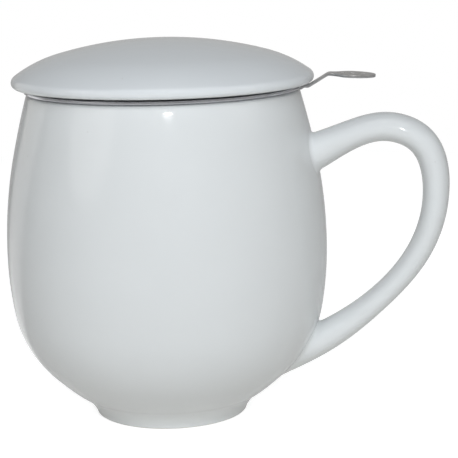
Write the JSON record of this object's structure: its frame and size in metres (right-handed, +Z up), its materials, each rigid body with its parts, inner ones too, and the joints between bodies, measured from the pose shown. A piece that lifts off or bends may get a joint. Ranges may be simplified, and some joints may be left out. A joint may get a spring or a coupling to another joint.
{
  "type": "lidded tea mug with infuser",
  "caption": "Round-bellied porcelain tea mug with an ear handle, a lift-out perforated steel infuser with a side tab, and a loose domed lid.",
  "frame": {"origin": "centre of the foot ring, on the plane that the mug stands on", "axes": "+Z up the mug's axis; +X out along the handle and the lift tab; +Y across, where both halves mirror"},
  "size_m": [0.1241, 0.0898, 0.1057],
  "materials": {
    "porcelain": "clear gloss glaze over off-white porcelain",
    "lid_porcelain": "clear gloss glaze over off-white porcelain",
    "polished_steel": "polished stainless steel",
    "perforated_steel": "satin perforated stainless sheet",
    "tab_steel": "tumbled stainless sheet"
  },
  "bodies": {
    "mug": {"mug_body": "porcelain", "mug_handle": "porcelain"},
    "infuser": {"infuser_rim": "polished_steel", "infuser_wall": "perforated_steel", "infuser_base": "perforated_steel", "infuser_base_band": "polished_steel", "lift_tab": "tab_steel"},
    "lid": {"lid": "lid_porcelain"}
  },
  "joints": [
    {"name": "infuser_lift", "type": "slide", "parent": "mug", "child": "infuser", "axis": [0, 0, 1], "range_m": [0, 0.08]},
    {"name": "lid_lift", "type": "slide", "parent": "infuser", "child": "lid", "axis": [0, 0, 1], "range_m": [0, 0.05]}
  ]
}
